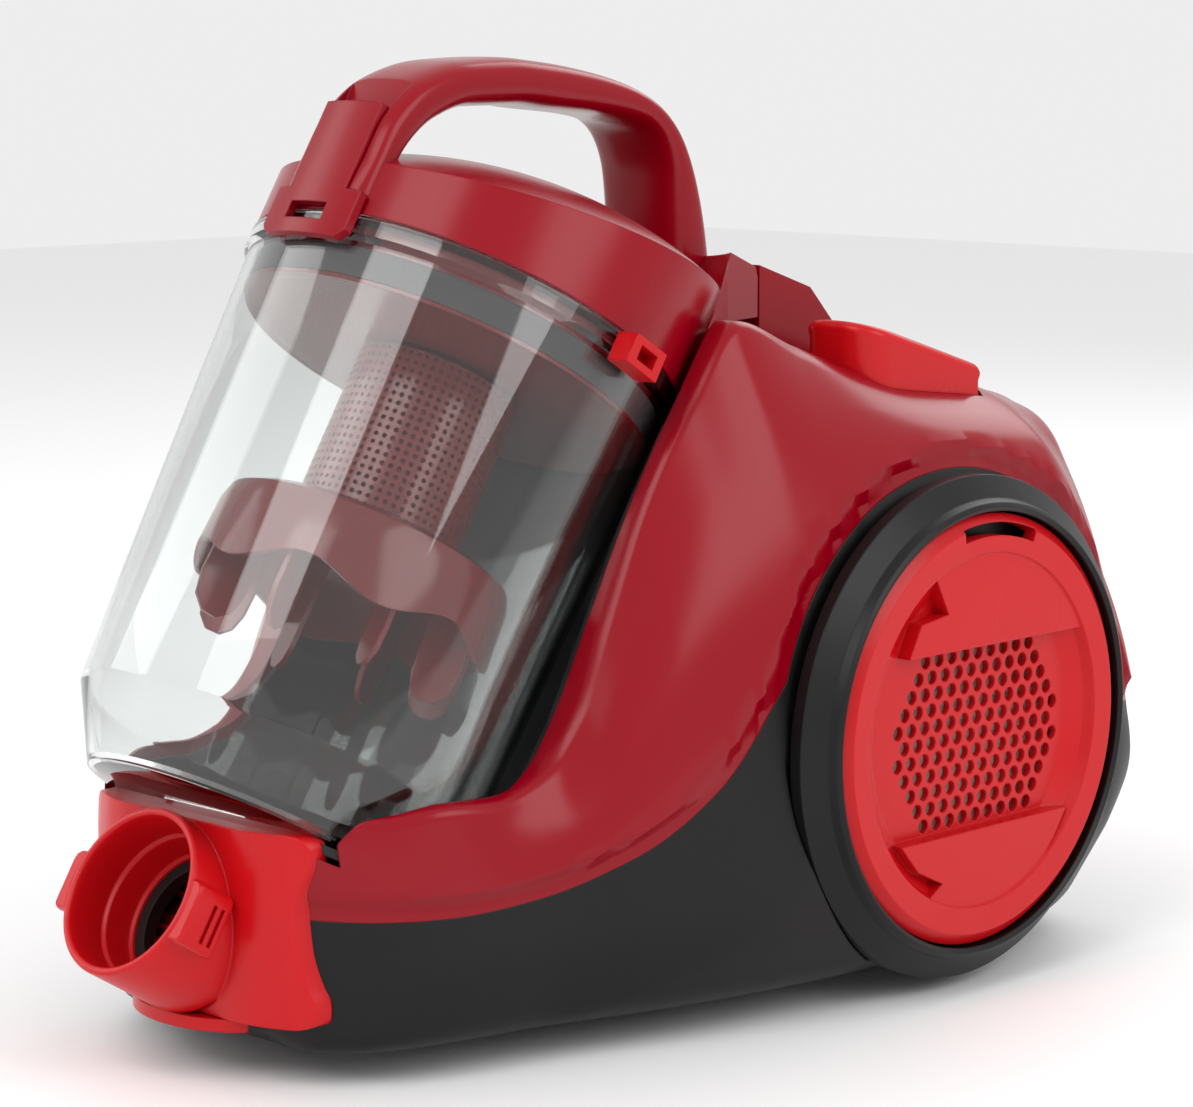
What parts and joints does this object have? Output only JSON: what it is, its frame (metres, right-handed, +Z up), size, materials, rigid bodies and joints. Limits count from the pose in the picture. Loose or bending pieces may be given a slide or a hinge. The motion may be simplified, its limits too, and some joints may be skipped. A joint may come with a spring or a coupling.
{
  "type": "canister vacuum cleaner",
  "caption": "Bagless canister vacuum cleaner: clear leaning dust container with hinged lid and arched handle, red and black casing, round exhaust cover, pedals, hose inlet and wheels.",
  "frame": {"origin": "on the floor, under the middle of the cleaner's bounding box", "axes": "+Z up, -Y towards the hose inlet at the front, +X towards the exhaust filter cover on the right side"},
  "size_m": [0.251, 0.395, 0.3176],
  "materials": {
    "gloss_crimson": "deep red gloss moulding",
    "bright_red": "bright red gloss moulding",
    "satin_black": "fine satin black moulding",
    "clear_plastic": "clear polished plastic",
    "translucent_red": "see-through dark red plastic",
    "dark_grey": "dark grey moulding",
    "grey_rubber": "soft grey rubber",
    "black_rubber": "soft black rubber",
    "steel": "plain ground steel",
    "rotor_metal": "machined aluminium",
    "filter_media": "white pleated filter sheet",
    "board": "green circuit board"
  },
  "bodies": {
    "casing": {"upper_shell": "gloss_crimson", "spine_cover": "gloss_crimson", "inlet_housing": "bright_red", "chassis": "satin_black", "side_ring_right": "satin_black", "side_ring_left": "satin_black", "left_side_cover": "satin_black", "cradle_liner": "dark_grey", "inlet_duct": "dark_grey", "outlet_duct": "dark_grey", "cord_outlet": "dark_grey", "motor_housing": "dark_grey", "reel_bearing_plate": "dark_grey", "brake_pivot": "dark_grey", "switch_bracket": "dark_grey", "power_switch": "dark_grey", "inlet_seal": "black_rubber", "motor_mount_left": "black_rubber", "motor_mount_right": "black_rubber", "motor_gasket": "black_rubber", "rear_axle_right": "steel", "rear_axle_left": "steel", "chassis_screws": "steel", "reel_spring": "steel", "pedal_spring_right": "steel", "pedal_spring_left": "steel", "motor_stator": "steel", "exhaust_filter": "filter_media", "control_board": "board"},
    "exhaust_cover": {"exhaust_filter_cover": "bright_red"},
    "motor_rotor": {"motor_rotor": "rotor_metal"},
    "cord_reel": {"reel_drum": "dark_grey"},
    "brake_lever": {"reel_brake_lever": "dark_grey"},
    "power_pedal": {"power_pedal": "bright_red"},
    "rewind_pedal": {"rewind_pedal": "bright_red"},
    "caster": {"caster_fork": "dark_grey", "caster_axle": "steel"},
    "caster_wheel": {"caster_wheel": "black_rubber"},
    "rear_roller_right": {"rear_roller_right": "dark_grey"},
    "rear_roller_left": {"rear_roller_left": "dark_grey"},
    "container": {"dust_tank": "clear_plastic", "tank_seal": "grey_rubber", "separator_plate": "translucent_red", "mesh_cylinder": "translucent_red", "separator_skirt": "translucent_red", "side_keeper": "bright_red", "hinge_bracket": "dark_grey", "hinge_pin": "steel"},
    "lid": {"lid": "gloss_crimson", "handle": "gloss_crimson"},
    "latch": {"latch": "gloss_crimson"}
  },
  "joints": [
    {"name": "exhaust_cover_turn", "type": "hinge", "parent": "casing", "child": "exhaust_cover", "pos_m": [0.125, 0.0875, 0.0913], "axis": [1, 0, 0], "range_deg": [0, 25]},
    {"name": "motor_spin", "type": "hinge", "parent": "casing", "child": "motor_rotor", "pos_m": [0.02, 0.0875, 0.0913], "axis": [1, 0, 0], "continuous": true},
    {"name": "cord_reel_turn", "type": "hinge", "parent": "casing", "child": "cord_reel", "pos_m": [-0.075, 0.0875, 0.0913], "axis": [1, 0, 0], "continuous": true},
    {"name": "brake_lever_lift", "type": "hinge", "parent": "casing", "child": "brake_lever", "pos_m": [-0.072, 0.0535, 0.1619], "axis": [1, 0, 0], "range_deg": [0, 8]},
    {"name": "power_pedal_press", "type": "slide", "parent": "casing", "child": "power_pedal", "axis": [0, 0, -1], "range_m": [0, 0.004], "stiffness_N_per_m": 800, "springref_m": -0.002},
    {"name": "rewind_pedal_press", "type": "slide", "parent": "casing", "child": "rewind_pedal", "axis": [0, 0, -1], "range_m": [0, 0.004], "stiffness_N_per_m": 800, "springref_m": -0.002},
    {"name": "caster_swivel", "type": "hinge", "parent": "casing", "child": "caster", "pos_m": [0, -0.109, 0.02], "axis": [0, 0, 1], "continuous": true},
    {"name": "caster_wheel_roll", "type": "hinge", "parent": "caster", "child": "caster_wheel", "pos_m": [0, -0.117, 0.01], "axis": [1, 0, 0], "continuous": true},
    {"name": "rear_roller_right_roll", "type": "hinge", "parent": "casing", "child": "rear_roller_right", "pos_m": [0.098, 0.096, 0.012], "axis": [1, 0, 0], "continuous": true},
    {"name": "rear_roller_left_roll", "type": "hinge", "parent": "casing", "child": "rear_roller_left", "pos_m": [-0.098, 0.096, 0.012], "axis": [1, 0, 0], "continuous": true},
    {"name": "container_lift", "type": "slide", "parent": "casing", "child": "container", "axis": [0, 0, 1], "range_m": [0, 0.25]},
    {"name": "lid_open", "type": "hinge", "parent": "container", "child": "lid", "pos_m": [0, 0.06743, 0.24102], "axis": [-1, 0, 0], "range_deg": [0, 62]},
    {"name": "latch_release", "type": "hinge", "parent": "lid", "child": "latch", "pos_m": [0, -0.08689, 0.29991], "axis": [-1, 0, 0], "range_deg": [0, 9], "stiffness_Nm_per_rad": 0.5, "springref_deg": -11.46}
  ],
  "couplings": [
    {"joint": "brake_lever_lift", "follows": "rewind_pedal_press", "rad_per_m": 34}
  ]
}
